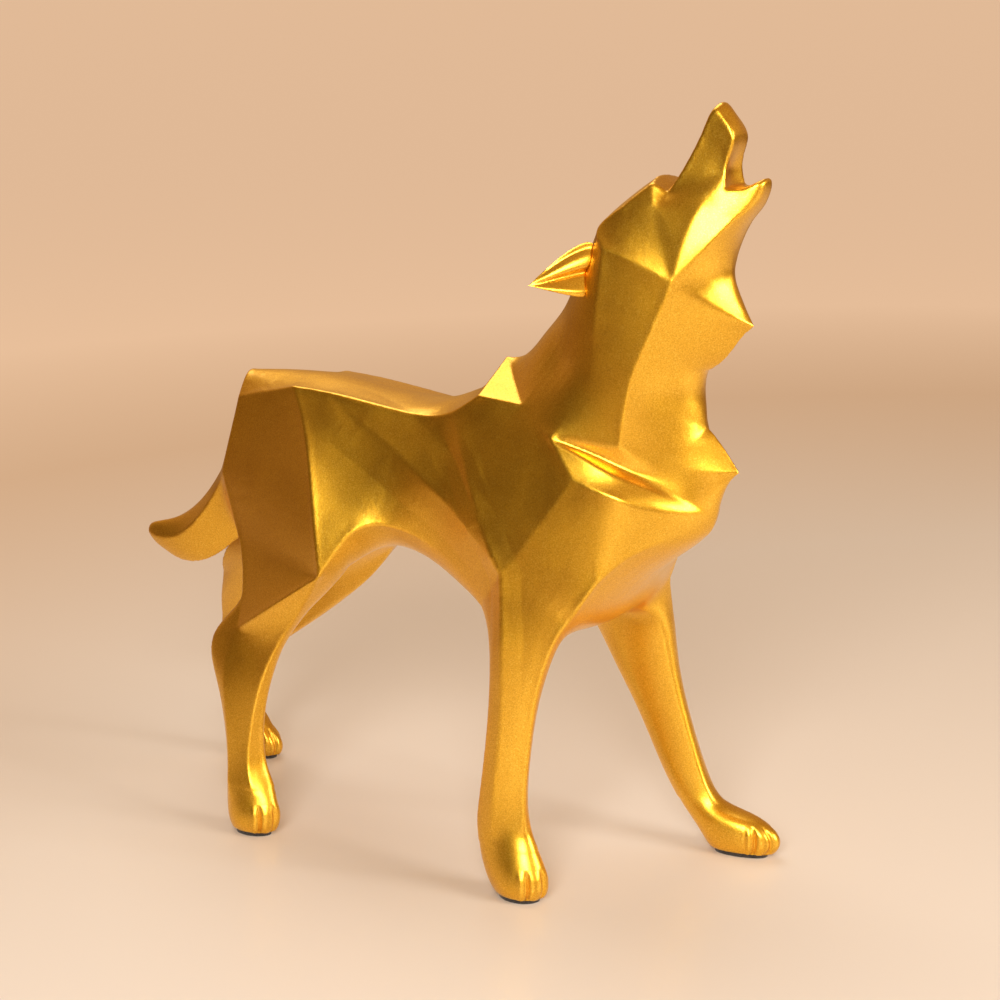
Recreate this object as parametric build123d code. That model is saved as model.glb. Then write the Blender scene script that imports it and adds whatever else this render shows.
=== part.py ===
from build123d import *
import os
import numpy as np

# A faceted howling wolf: a cold-cast resin figurine, glued up from castings over bent steel
# wires and standing on four thin pads. +X is the way the wolf faces, +Y is its left side.
# The outer skin is one smooth surface with creases. It is drawn as a coarse net of named
# corners, refined once, and covered with bicubic patches. The castings are cut from it.

PAD_THICKNESS = 1.2        # felt pad under each paw
PAD_SCALE = 0.86           # size of a pad against its sole, so that it hides under the paw
WIRE_DIAMETER = 3.0        # armature wire in each leg
CAVITY_RADIUS = 12.5       # slush-cast hollow in the trunk
SOLE_LEVEL = 0.8           # the net is cut off flat here to make the soles
NECK_CAVITY_RADIUS = 8.0   # the same hollow, up the neck
PLUG_DIAMETER = 14.0       # belly plug that closes the casting's pour hole
PLUG_HEIGHT = 7.0
TAIL_PIN_DIAMETER = 2.5
FRONT_JOINT_HEIGHT = 76.0  # level at which the front legs are glued to the chest

# ---------------------------------------------------------------- corners of the net
# Corners on the middle plane: name -> (x, z)
MIDDLE = {
    # back and nape
    "croup": (-76.5, 156.5), "loin": (-50, 157), "back": (-22, 152), "saddle": (1, 149.2),
    "withers": (19.5, 158), "nape1": (26, 166.8), "nape2": (34.5, 179), "nape3": (46, 186.5),
    "nape4": (52, 200),
    # skull and upper jaw
    "crown": (60.5, 213), "forehead": (72.5, 224), "brow": (80, 229), "stop": (86, 225.2),
    "bridge1": (91.5, 233), "bridge2": (96, 242), "nose_top": (99.7, 253.2),
    "nose_front": (103.8, 249.2), "palate1": (107.8, 242.3), "palate2": (105.3, 235.5),
    "palate3": (101.6, 230.8), "gullet": (103.8, 226.3),
    # lower jaw and throat
    "tongue": (110.5, 225.8), "chin_top": (117.3, 231.2), "chin": (114.3, 220.5),
    "jaw1": (106.2, 211.5), "jaw2": (105, 200), "throat": (114.5, 182.5),
    "front1": (109.5, 175.7), "front2": (100.8, 166), "front3": (103, 150.5), "ruff_tip": (109.8, 138.7),
    # keel of the chest, belly and crotch
    "chest0": (102.7, 123.5), "chest1": (101, 115.3), "chest2": (91, 107), "chest3": (80, 98.5),
    "chest4": (71, 87), "chest5": (61, 80), "belly6": (43.5, 83.5), "belly5": (25, 89.5),
    "belly4": (8, 99), "belly3": (-7, 103.5), "belly2": (-22, 102), "crotch": (-42, 95),
    "vent": (-66, 89),
    # rump and tail
    "rump": (-84, 136), "tail_root": (-89.8, 118.5), "tail_top1": (-99.3, 105.8),
    "tail_top2": (-111.3, 98), "tail_top3": (-121.5, 96), "tail_tip": (-127.3, 90.3),
    "tail_low3": (-116.8, 80.3), "tail_low2": (-104, 76.8), "tail_low1": (-92, 80.6),
    "tail_under": (-80, 90),
}

# Corners off the middle plane, the same on both sides: name -> (x, half width, z)
SIDE = {
    # hip and the back edge
    "hip_rear": (-74.5, 9.5, 145), "rump_a": (-79, 10, 129), "rump_b": (-82.5, 10, 118),
    "hip_top": (-47, 15.7, 152.3), "hip_a": (-39, 21, 141.5),
    "back_a": (-34, 15.3, 151.8), "back_b": (-21.5, 15, 149.9), "back_c": (-7, 14.8, 148.3),
    "back_d": (6, 15, 147.3),
    # flank
    "flank_a": (-19, 17.5, 142), "flank_b": (-4, 20.5, 135.5), "flank_c": (8.5, 22.8, 129.5),
    "flank_d": (20, 25.3, 124.5), "flank_e": (36, 30.5, 109.5), "groove": (10.5, 19.5, 138.5),
    "sweep_a": (-26, 21.5, 138), "sweep_b": (-19, 25.5, 123),
    "belly_a": (-8, 27, 113), "belly_b": (1, 24, 112), "belly_c": (10, 22, 107.5),
    "belly_d": (22.5, 24, 100), "arch_a": (-11, 17, 103), "arch_b": (1.5, 14, 99.6),
    "arch_c": (12.5, 15, 94),
    # shoulder
    "shoulder_low": (15.5, 16.8, 150.3), "shoulder_top": (25.5, 17.3, 156.9),
    "shoulder_front": (42, 18, 156), "scapula_a": (25.5, 25, 135),
    "scapula_b": (34, 31, 119.5), "shoulder_point": (65.7, 28, 137),
    "shoulder_mid": (55, 30.8, 121),
    # ruff: three folds that run from the shoulder to the breast
    "ruff_start": (56, 25, 148.3), "fold_a": (68, 22.5, 148), "fold_b": (78, 21, 147),
    "fold_c": (86.5, 15, 141), "fold_d": (97, 7.5, 139), "gully_a": (68.5, 21.6, 144.6),
    "gully_b": (78, 19.5, 140.5), "gully_c": (87, 14.5, 136.3), "ridge_a": (67, 25.3, 143.6),
    "ridge_b": (76, 24.3, 139.3), "ridge_c": (86, 19.5, 135), "ridge_d": (96.8, 10.5, 129.3),
    "lip_a": (75, 28, 134), "lip_b": (85, 25.5, 131.5), "lip_c": (96, 14.5, 127),
    # breast
    "breast_a": (93, 14, 118.7), "breast_b": (83, 24, 115), "breast_c": (75.5, 30, 106),
    # neck
    "dewlap_a": (90, 18, 190), "dewlap_b": (84.5, 19.5, 178), "dewlap_c": (80, 21, 166),
    "neck_a": (67.7, 20, 191), "neck_b": (67.5, 20.5, 178), "neck_c": (69.5, 21.5, 165),
    "hollow_a": (58, 15, 193), "hollow_b": (56, 15.5, 182.5), "hollow_c": (53, 16, 172),
    # head
    "ear_root": (63.5, 13.5, 212.5), "temple": (74, 12.5, 220), "brow_side": (82, 9.3, 226.8),
    "eye": (84, 12.5, 219), "jowl": (69.5, 18, 208), "cheek_mid": (82, 18.2, 203),
    "cheek": (93, 17.3, 198.3), "jaw_edge": (101, 9.5, 192),
    "muzzle_root": (86.5, 8.3, 223.8), "muzzle_a": (90.8, 7, 231), "muzzle_b": (95.8, 5.5, 241),
    "nose_side": (99, 4.3, 250.5), "nostril": (101.7, 4.6, 247.2),
    "upper_lip_a": (107.4, 5, 241.8), "upper_lip_b": (105.7, 5.3, 236.5),
    "upper_lip_c": (104.6, 5.7, 230.5), "mouth_corner": (105, 7.3, 225.8),
    "face_a": (95.5, 14.3, 212), "face_b": (99.7, 10, 223.7),
    "lower_lip_a": (111, 5.5, 225.8), "lower_lip_b": (116.3, 3.6, 230.2),
    "jaw_side_a": (115.5, 4.3, 222.3), "jaw_side_b": (108.3, 8.2, 216.5),
    "jaw_side_c": (102.5, 12.3, 209.5),
    # tail
    "tail_side0": (-86, 7.5, 113), "tail_side1": (-94, 6.5, 101.5),
    "tail_side2": (-105, 6, 90.5), "tail_side3": (-117, 4, 87.5),
}

# The legs are posed one by one. Their corners are (x, half width, z); a ring runs rear,
# outside, front, inside front, inside rear, and the last ring is the sole.
RING = ("rear", "outer", "front", "inner", "back")

RIGHT_THIGH = {
    "hip_b": (-31.5, 29, 125), "hip_c": (-26, 35, 106), "knee": (-23.6, 36, 95),
    "knee_in": (-16.5, 27, 96.5), "sweep_c": (-15.5, 31, 111),
    "thigh_a": (-74, 14, 101), "thigh_b": (-68, 18, 92), "thigh_c": (-64, 24, 79),
    "thigh_in": (-60, 13, 79), "shank": (-47, 33, 80), "shin": (-36.8, 30.5, 78.5),
    "shin_in": (-33.8, 25, 80), "groin": (-43.5, 18.5, 82),
}
LEFT_THIGH = {
    "hip_b": (-36, 28.5, 124), "hip_c": (-35, 34, 104), "knee": (-37, 34.5, 90.5),
    "knee_in": (-33, 26, 89.5), "sweep_c": (-22, 30, 110),
    "thigh_a": (-80, 12, 101), "thigh_b": (-96, 12, 87), "thigh_c": (-109, 19, 73),
    "thigh_in": (-88, 12, 75), "shank": (-71, 33.5, 73), "shin": (-58, 31, 69),
    "shin_in": (-51.5, 24.5, 67), "groin": (-60, 18, 74),
}
RIGHT_HIND_RINGS = [
    [(-80.5, 26, 65.5), (-64, 28.5, 68.5), (-44.5, 30.5, 67), (-46, 24.5, 64.5), (-62, 21, 66)],
    [(-79, 27.5, 58), (-68.5, 31, 58), (-50, 32, 56), (-48.5, 26.5, 53.5), (-65, 24, 55)],
    [(-71.5, 30, 47.5), (-67, 33, 47.5), (-52.8, 33, 47), (-50.3, 28, 45), (-64, 26.5, 46)],
    [(-68, 31, 34), (-64.5, 34.5, 34), (-55.3, 34, 34), (-51.8, 28.5, 33), (-62, 27, 33)],
    [(-67, 31, 20), (-64, 35, 21), (-56, 36, 22), (-49.5, 29, 21.5), (-62, 26.5, 20)],
    [(-68, 31, 9.5), (-63, 38.5, 10.5), (-50.5, 38.5, 12.8), (-41.5, 30.5, 13), (-60, 24.5, 10)],
    [(-67, 31, 4), (-62, 40, 4.5), (-49, 40.5, 5), (-40, 31, 5), (-59, 24.5, 4.5)],
    [(-64.5, 31.5, 0), (-61, 38.5, 0), (-50, 39, 0), (-44, 31.5, 0), (-58, 26, 0)],
]
LEFT_HIND_RINGS = [
    [(-119, 28, 50), (-104, 32, 53), (-89, 33, 48), (-86, 25.5, 43), (-100, 22, 50)],
    [(-114.5, 28.5, 40), (-106, 33, 41), (-98, 33, 39), (-97, 26, 37), (-106, 23.5, 40)],
    [(-112, 28.5, 32), (-105, 33, 32), (-100, 32.5, 31), (-99, 26, 30), (-106, 24, 32)],
    [(-110.5, 28.5, 24), (-104.5, 33, 24), (-100.5, 32.5, 24), (-99.5, 26, 24), (-106, 24, 24)],
    [(-110.5, 28, 17), (-104, 33, 17.5), (-100, 32.5, 17.5), (-99, 25, 17.5), (-105, 23, 17)],
    [(-112, 27.5, 9.5), (-105, 35, 10.5), (-94.5, 34.5, 12), (-93.5, 25.5, 12), (-104, 21, 10)],
    [(-111, 27, 4), (-104, 36, 4.5), (-88, 35, 5.5), (-87.5, 25.5, 5.5), (-103, 20.5, 4.5)],
    [(-108.5, 27, 0), (-103, 34.5, 0), (-90, 33.5, 0), (-89.5, 26.5, 0), (-102, 22, 0)],
]
RIGHT_FRONT_RINGS = [
    [(29.5, 25, 90), (43.5, 33.5, 104), (67.5, 32.5, 92.5), (59.5, 18, 84), (44, 17, 85)],
    [(37.5, 33, 79.5), (45, 36.5, 81.5), (61.3, 33.5, 81.5), (59, 24, 80), (45, 24, 79.5)],
    [(38, 34, 64), (45.8, 37.5, 65.5), (56.7, 34, 65), (54.5, 27, 64), (43.5, 27.5, 64)],
    [(37.2, 35, 47.5), (44.5, 37.5, 48.5), (54.7, 34, 48), (52.3, 28.5, 48), (42, 29, 48)],
    [(34.6, 35, 29), (42.5, 38, 31), (53.2, 34.5, 31), (51.3, 29, 31), (40.5, 29, 30)],
    [(32.6, 35, 18), (42.5, 38.5, 19), (55.2, 36.5, 21), (54.3, 29.5, 21), (40.5, 29, 18)],
    [(34, 34, 9), (44, 41, 10), (57.5, 41, 12), (63.3, 31, 12.5), (44, 26.5, 10)],
    [(37.2, 34, 3.5), (46, 42, 4), (58.5, 43, 4.5), (65.5, 31.5, 4.5), (46, 26.5, 4)],
    [(41, 34, 0), (47, 41, 0), (57, 41.5, 0), (63, 32, 0), (47, 28, 0)],
]
LEFT_FRONT_RINGS = [
    [(29.5, 25, 90), (43.5, 33.5, 104), (70.5, 32.5, 93), (64, 18, 84), (44, 17, 85)],
    [(38.5, 31, 75), (50, 38, 77), (70.5, 36, 78), (71, 28.5, 79.5), (50, 25.5, 76.5)],
    [(47.5, 31, 60), (56, 38.5, 62), (71.5, 36.5, 61), (72.7, 30, 61), (55, 27, 60.5)],
    [(56.5, 32.5, 45.5), (64, 39, 47), (75.3, 37, 45), (77.3, 31, 45), (61.5, 28.5, 46)],
    [(62.6, 33.5, 31), (73, 39.5, 29), (81.3, 37.5, 27), (83, 31.5, 27), (70, 29, 28)],
    [(69.8, 34, 16), (79, 40, 17), (86.8, 38.5, 14.5), (88.5, 31.5, 13.8), (77.5, 29, 16)],
    [(76, 34, 8.5), (85, 42, 11), (103.5, 41, 13.5), (103.5, 31, 13.3), (85, 27, 10)],
    [(80.3, 34, 4), (88, 43, 4.5), (112.3, 41.5, 6.3), (112.3, 31.5, 6.3), (88, 27, 4.5)],
    [(84, 34, 0), (89, 41.5, 0), (108, 40.5, 0), (108, 32, 0), (89, 28.5, 0)],
]

# ---------------------------------------------------------------- faces of the net
# Faces of one side, by the names of their corners. The other side is their mirror image.
HALF_FACES = """
croup hip_rear hip_top loin
loin hip_top back_a back_b back
back back_b back_c saddle
saddle back_c back_d withers
withers back_d shoulder_low shoulder_top
withers shoulder_top nape1
nape1 shoulder_top shoulder_front
croup rump rump_a hip_rear
rump tail_root rump_b rump_a
tail_root tail_side0 rump_b
hip_rear rump_a hip_a hip_top
rump_a rump_b hip_b hip_a
rump_b thigh_a hip_c hip_b
thigh_a thigh_b knee hip_c
thigh_b thigh_c shank knee
thigh_c hind0_outer shank
hip_top hip_a sweep_a back_a
hip_a hip_b sweep_b sweep_a
hip_b hip_c sweep_c sweep_b
hip_c knee sweep_c
back_a sweep_a flank_a
sweep_a sweep_b flank_b flank_a
sweep_b sweep_c belly_a flank_b
back_a flank_a back_b
back_b flank_a flank_b back_c
back_c flank_b groove back_d
flank_b flank_c flank_d groove
flank_b belly_a belly_b flank_c
flank_c belly_b belly_c flank_d
flank_d belly_c belly_d flank_e
flank_e belly_d front0_rear front0_outer
back_d groove scapula_a shoulder_low
groove flank_d scapula_b scapula_a
flank_d flank_e front0_outer scapula_b
shoulder_low scapula_a shoulder_front shoulder_top
scapula_a shoulder_point ruff_start shoulder_front
scapula_a scapula_b shoulder_mid shoulder_point
scapula_b front0_outer shoulder_mid
sweep_c knee knee_in
sweep_c knee_in arch_a belly_a
belly_a arch_a arch_b belly_b
belly_b arch_b arch_c belly_c
belly_c arch_c front0_rear belly_d
knee_in belly2 belly3 arch_a
arch_a belly3 belly4 arch_b
arch_b belly4 belly5 arch_c
arch_c belly5 front0_back front0_rear
front0_back belly5 belly6
front0_inner front0_back belly6 chest5
front0_front front0_inner chest5 chest4
knee_in crotch belly2
knee knee_in shin_in shin
knee shin shank
shank shin hind0_front hind0_outer
shin shin_in hind0_inner hind0_front
knee_in groin crotch
knee_in shin_in groin
shin_in hind0_inner hind0_back groin
crotch groin thigh_in vent
groin hind0_back hind0_rear thigh_in
thigh_in hind0_rear thigh_c
thigh_c hind0_rear hind0_outer
vent thigh_in thigh_c thigh_b
vent thigh_b thigh_a tail_under
tail_under thigh_a rump_b tail_side0
tail_root tail_top1 tail_side1 tail_side0
tail_side0 tail_side1 tail_low1 tail_under
tail_top1 tail_top2 tail_side2 tail_side1
tail_side1 tail_side2 tail_low2 tail_low1
tail_top2 tail_top3 tail_side3 tail_side2
tail_side2 tail_side3 tail_low3 tail_low2
tail_top3 tail_tip tail_side3
tail_side3 tail_tip tail_low3
shoulder_point shoulder_mid breast_c lip_a
shoulder_mid front0_outer front0_front breast_c
lip_a breast_c breast_b lip_b
lip_b breast_b breast_a lip_c
lip_c breast_a chest1 chest0
breast_a breast_b chest2 chest1
breast_b breast_c chest3 chest2
breast_c front0_front chest4 chest3
ruff_start shoulder_point ridge_a
ridge_a shoulder_point lip_a ridge_b
ridge_b lip_a lip_b ridge_c
ridge_c lip_b lip_c ridge_d
ridge_d lip_c chest0
ruff_start ridge_a gully_a
gully_a ridge_a ridge_b gully_b
gully_b ridge_b ridge_c gully_c
gully_c ridge_c ridge_d
ruff_start gully_a fold_a
fold_a gully_a gully_b fold_b
fold_b gully_b gully_c fold_c
fold_c gully_c ridge_d fold_d
fold_d ridge_d chest0 ruff_tip
nape1 shoulder_front hollow_c nape2
nape2 hollow_c hollow_b nape3
nape3 hollow_b hollow_a nape4
nape4 hollow_a jowl ear_root crown
hollow_a neck_a jowl
hollow_b neck_b neck_a hollow_a
hollow_c neck_c neck_b hollow_b
shoulder_front ruff_start neck_c hollow_c
ruff_start fold_a fold_b neck_c
neck_c fold_b dewlap_c neck_b
neck_b dewlap_c dewlap_b dewlap_a neck_a
neck_a dewlap_a cheek cheek_mid jowl
dewlap_c fold_b fold_c front3
front3 fold_c fold_d ruff_tip
dewlap_b dewlap_c front3 front2
dewlap_a dewlap_b front2 front1
cheek dewlap_a front1 throat jaw_edge
cheek jaw_edge jaw2 jaw_side_c
jaw_edge throat jaw2
jaw_side_c jaw2 jaw1 jaw_side_b
jaw_side_b jaw1 chin jaw_side_a
jaw_side_a chin chin_top lower_lip_b
lower_lip_b chin_top tongue lower_lip_a
lower_lip_a tongue gullet mouth_corner
mouth_corner gullet palate3 upper_lip_c
upper_lip_c palate3 palate2 upper_lip_b
upper_lip_b palate2 palate1 upper_lip_a
upper_lip_a palate1 nose_front nostril
nostril nose_front nose_top nose_side
crown ear_root temple forehead
forehead temple brow_side brow
brow brow_side muzzle_root stop
stop muzzle_root muzzle_a bridge1
bridge1 muzzle_a muzzle_b bridge2
bridge2 muzzle_b nose_side nose_top
ear_root jowl cheek_mid temple
temple cheek_mid cheek eye
temple eye brow_side
brow_side eye muzzle_root
eye cheek face_a
muzzle_root eye face_a face_b
muzzle_a muzzle_root face_b upper_lip_c
muzzle_b muzzle_a upper_lip_c upper_lip_b
muzzle_b upper_lip_b upper_lip_a
nose_side muzzle_b upper_lip_a nostril
cheek jaw_side_c face_a
face_a jaw_side_c jaw_side_b face_b
face_b mouth_corner upper_lip_c
face_b jaw_side_b lower_lip_a mouth_corner
lower_lip_a jaw_side_b jaw_side_a lower_lip_b
"""

# Creases: how sharp, then the corners that they run through
CREASES = """
1.0 croup hip_rear hip_top back_a back_b back_c back_d shoulder_low shoulder_top shoulder_front
1.0 hip_rear rump_a rump_b thigh_a thigh_b thigh_c hind0_outer
1.0 hip_top hip_a hip_b hip_c knee
1.0 knee shank hind0_outer
0.6 back_a flank_a flank_b flank_c flank_d
0.9 shoulder_low scapula_a scapula_b front0_outer
0.3 groove flank_d flank_e
0.9 sweep_c knee
0.9 sweep_c belly_a belly_b belly_c
0.5 belly_c belly_d
1.0 shoulder_front ruff_start shoulder_point shoulder_mid front0_outer
1.0 shoulder_front nape1 shoulder_top
0.9 ruff_start fold_a fold_b
1.0 fold_b fold_c fold_d ruff_tip
0.6 ruff_start gully_a gully_b gully_c
1.0 ruff_start ridge_a ridge_b ridge_c ridge_d
0.5 ridge_d chest0
1.0 shoulder_point lip_a lip_b
0.4 lip_b lip_c chest0
0.9 breast_a breast_b breast_c front0_front
0.4 chest0 chest1
0.9 fold_b dewlap_c dewlap_b dewlap_a cheek
0.8 jowl cheek_mid cheek jaw_edge throat
0.7 jowl neck_a neck_b
0.4 neck_b neck_c
0.6 throat front1 front2
0.7 ruff_tip front3
0.8 eye muzzle_root muzzle_a muzzle_b nose_side
1.0 brow_side muzzle_root stop
0.8 brow_side eye
0.8 ear_root temple brow_side brow
0.9 ear_root jowl
0.8 cheek face_a
0.7 face_a face_b
0.8 cheek jaw_side_c jaw_side_b
0.6 jaw_side_b jaw_side_a
0.8 nostril upper_lip_a upper_lip_b upper_lip_c mouth_corner
0.7 mouth_corner lower_lip_a lower_lip_b
0.8 mouth_corner gullet
0.6 nose_side nostril nose_front
0.8 tail_side0 tail_side1 tail_side2
0.6 tail_side2 tail_side3 tail_tip
0.8 rump_b tail_side0
0.5 tail_under tail_low1 tail_low2 tail_low3
0.8 knee shin hind0_front
0.5 knee_in shin_in
0.5 hind0_outer hind0_rear
0.6 front0_rear front0_outer
"""
LEG_CREASES = {"rear": 0.3, "outer": 0.7, "front": 0.7, "inner": 0.3, "back": 0.3}
SOLE_CREASE = 0.7
SHARP_RINGS = 5     # below this ring a leg becomes the rounded paw


def build_net():
    """Corners by name, faces as lists of names, and crease weights by pairs of names."""
    corners, faces, creases = {}, [], {}
    for name, (x, z) in MIDDLE.items():
        corners[name] = np.array([x, 0.0, z])
    middle = set(corners)
    sides = {
        "R": (-1, RIGHT_THIGH, RIGHT_HIND_RINGS, RIGHT_FRONT_RINGS),
        "L": (1, LEFT_THIGH, LEFT_HIND_RINGS, LEFT_FRONT_RINGS),
    }
    for side, (sign, thigh, hind, front) in sides.items():
        def own(name):
            return name if name in middle else f"{name}.{side}"

        def crease(weight, names):
            for a, b in zip(names, names[1:]):
                creases[frozenset((own(a), own(b)))] = weight

        places = dict(SIDE, **thigh)
        for leg, rings in (("hind", hind), ("front", front)):
            for level, ring in enumerate(rings):
                places.update({f"{leg}{level}_{at}": spot for at, spot in zip(RING, ring)})
        for name, (x, half_width, z) in places.items():
            corners[own(name)] = np.array([x, sign * half_width, z])

        half = [line.split() for line in HALF_FACES.strip().splitlines()]
        for leg, rings in (("hind", hind), ("front", front)):
            sole = len(rings) - 1
            for level in range(sole):
                for a, b in zip(RING, RING[1:] + RING[:1]):
                    half.append([f"{leg}{level}_{a}", f"{leg}{level}_{b}",
                                 f"{leg}{level + 1}_{b}", f"{leg}{level + 1}_{a}"])
                    if level + 1 == sole:
                        crease(SOLE_CREASE, [f"{leg}{sole}_{a}", f"{leg}{sole}_{b}"])
            half.append([f"{leg}{sole}_{at}" for at in RING])
            for at, weight in LEG_CREASES.items():
                crease(weight, [f"{leg}{level}_{at}" for level in range(SHARP_RINGS + 1)])
        faces += [[own(name) for name in face] for face in half]
        for line in CREASES.strip().splitlines():
            weight, *names = line.split()
            crease(float(weight), names)
    return corners, wind(faces), creases


def wind(faces):
    """Turn the faces so that neighbours run their shared edge in opposite directions."""
    users = {}
    for number, face in enumerate(faces):
        for a, b in zip(face, face[1:] + face[:1]):
            users.setdefault(frozenset((a, b)), []).append(number)
    done, queue = {0}, [0]
    while queue:
        face = faces[queue.pop()]
        for a, b in zip(face, face[1:] + face[:1]):
            for number in users[frozenset((a, b))]:
                if number in done:
                    continue
                other = faces[number]
                if any(pair == (a, b) for pair in zip(other, other[1:] + other[:1])):
                    faces[number] = other[::-1]
                done.add(number)
                queue.append(number)
    return faces


def neighbourhood(faces):
    """For each edge its faces, and for each corner its edges and faces."""
    edge_faces, corner_edges, corner_faces = {}, {}, {}
    for number, face in enumerate(faces):
        for a, b in zip(face, face[1:] + face[:1]):
            edge_faces.setdefault(frozenset((a, b)), []).append(number)
        for a in face:
            corner_faces.setdefault(a, []).append(number)
    for edge in edge_faces:
        for a in edge:
            corner_edges.setdefault(a, []).append(edge)
    return edge_faces, corner_edges, corner_faces


def blended(corner, edges, creases, smooth, along, fixed):
    """Weigh the smooth, crease and corner forms of a rule by the creases that meet here."""
    ranked = sorted(edges, key=lambda edge: -creases.get(edge, 0.0))
    first, second, third = [creases.get(edge, 0.0) for edge in ranked[:3]]
    ends = [next(iter(edge - {corner})) for edge in ranked[:2]]
    return third * fixed + (second - third) * along(*ends) + (1 - second) * smooth


def refine(corners, faces, creases):
    """One Catmull-Clark step with crease weights."""
    edge_faces, corner_edges, corner_faces = neighbourhood(faces)
    centres = {n: sum(corners[a] for a in face) / len(face) for n, face in enumerate(faces)}
    places, marks = {}, {}
    for edge, beside in edge_faces.items():
        a, b = edge
        weight = creases.get(edge, 0.0)
        middle = (corners[a] + corners[b]) / 2
        smooth = (corners[a] + corners[b] + centres[beside[0]] + centres[beside[1]]) / 4
        places[edge] = weight * middle + (1 - weight) * smooth
        for end in edge:
            marks[frozenset((end, edge))] = weight
    for a, edges in corner_edges.items():
        here, count = corners[a], len(edges)
        around = sum(centres[n] for n in corner_faces[a]) / len(corner_faces[a])
        middles = sum((corners[p] + corners[q]) / 2 for p, q in edges) / count
        smooth = (around + 2 * middles + (count - 3) * here) / count
        places[a] = blended(
            a, edges, creases, smooth,
            lambda p, q: (corners[p] + 6 * here + corners[q]) / 8, here)
    quads = []
    for number, face in enumerate(faces):
        places[number] = centres[number]
        for before, a, after in zip(face[-1:] + face[:-1], face, face[1:] + face[:1]):
            quads.append([a, frozenset((a, after)), number, frozenset((before, a))])
    return places, quads, marks


def patches(corners, quads, creases):
    """A bicubic patch over every quad: four rows of four control points each."""
    edge_faces, corner_edges, corner_faces = neighbourhood(quads)
    strength = {a: sorted((creases.get(edge, 0.0) for edge in edges), reverse=True)
                for a, edges in corner_edges.items()}

    def inner(quad, a):
        at = quad.index(a)
        a, beyond, across, before = quad[at:] + quad[:at]
        count = len(corner_edges[a])
        count += (4 - count) * strength[a][1]
        total = count * corners[a] + 2 * corners[beyond] + 2 * corners[before] + corners[across]
        return total / (count + 5)

    def edge_point(a, b):
        edge = frozenset((a, b))
        weight = creases.get(edge, 0.0)
        smooth = sum(inner(quads[n], a) for n in edge_faces[edge]) / 2
        return weight * (2 * corners[a] + corners[b]) / 3 + (1 - weight) * smooth

    def corner_point(a):
        edges, count = corner_edges[a], len(corner_edges[a])
        ends = sum(corners[next(iter(edge - {a}))] for edge in edges)
        across = sum(corners[quads[n][(quads[n].index(a) + 2) % 4]] for n in corner_faces[a])
        smooth = (count ** 2 * corners[a] + 4 * ends + across) / (count * (count + 5))
        return blended(
            a, edges, creases, smooth,
            lambda p, q: (corners[p] + 4 * corners[a] + corners[q]) / 6, corners[a])

    for quad in quads:
        a, b, c, d = quad
        yield [
            [corner_point(a), edge_point(a, b), edge_point(b, a), corner_point(b)],
            [edge_point(a, d), inner(quad, a), inner(quad, b), edge_point(b, c)],
            [edge_point(d, a), inner(quad, d), inner(quad, c), edge_point(c, b)],
            [corner_point(d), edge_point(d, c), edge_point(c, d), corner_point(c)],
        ]


def skin(corners, faces, creases):
    """Cover a closed net of corners with patches and return the solid inside."""
    faces = [Face.make_bezier_surface([[Vector(*point) for point in row] for row in patch])
             for patch in patches(*refine(corners, faces, creases))]
    return Solid(Shell(faces))


# ---------------------------------------------------------------- ears
# An ear is a leaf laid back along the neck. Its two edges run from inside the head towards
# the tip, as (x, half width, z). Across its face it has a lip, a rolled lobe, a slit, a flat
# and a lower rim: the part of the way from the top edge to the low edge, and how far out.
EAR_EDGES = {
    "top": [(66.5, 11, 211), (58.5, 16.5, 207), (52.8, 21.3, 200.8)],
    "low": [(67.5, 16, 190), (61.5, 21, 191.6), (55.6, 23.5, 193)],
}
EAR_TIP = (47.8, 25.7, 194.8)
EAR_SECTION = {
    "lip": (0.06, 0.2), "valley": (0.13, -0.8), "lobe": (0.30, 1.0), "lobe_edge": (0.47, 0.3),
    "slit": (0.52, -2.3), "flat": (0.58, -1.4), "rim": (0.87, 0.3), "low": (1.0, -0.7),
    "back": (0.5, -5.0),
}
EAR_TAPER = (1.0, 0.9, 0.55)   # how much of the section's depth is left at each ring
EAR_CREASES = {
    "top": 0.9, "lip": 0.6, "valley": 0.8, "lobe_edge": 0.8, "slit": 1.0, "flat": 0.9,
    "rim": 1.0, "low": 0.8,
}


def ear(sign):
    """The blank of one ear; its root reaches into the head."""
    tip = np.array(EAR_TIP)
    corners = {"tip": tip}
    for level, (top, low) in enumerate(zip(EAR_EDGES["top"], EAR_EDGES["low"])):
        top, low = np.array(top), np.array(low)
        out = np.cross(low - top, tip - top)
        out /= np.linalg.norm(out)
        corners[f"top{level}"] = top
        for name, (share, height) in EAR_SECTION.items():
            depth = height * EAR_TAPER[level]
            corners[f"{name}{level}"] = top + share * (low - top) + depth * out
    corners = {name: place * (1, sign, 1) for name, place in corners.items()}

    loop = ["top", *EAR_SECTION]
    last = len(EAR_TAPER) - 1
    faces = [[f"{name}0" for name in loop]]
    for a, b in zip(loop, loop[1:] + loop[:1]):
        for level in range(last):
            faces.append([f"{a}{level}", f"{b}{level}", f"{b}{level + 1}", f"{a}{level + 1}"])
        faces.append([f"{a}{last}", f"{b}{last}", "tip"])
    creases = {}
    for name, weight in EAR_CREASES.items():
        run = [f"{name}{level}" for level in range(last + 1)] + ["tip"]
        for pair in zip(run, run[1:]):
            creases[frozenset(pair)] = weight
    return skin(corners, wind(faces), creases)


# ---------------------------------------------------------------- helpers for the cuts
def rod(start, end, diameter):
    """A round bar from one point to another."""
    start, end = Vector(*start), Vector(*end)
    along = end - start
    bar = Cylinder(diameter / 2, along.length, align=(Align.CENTER, Align.CENTER, Align.MIN))
    return Plane(origin=start, z_dir=along.normalized()) * bar


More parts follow.
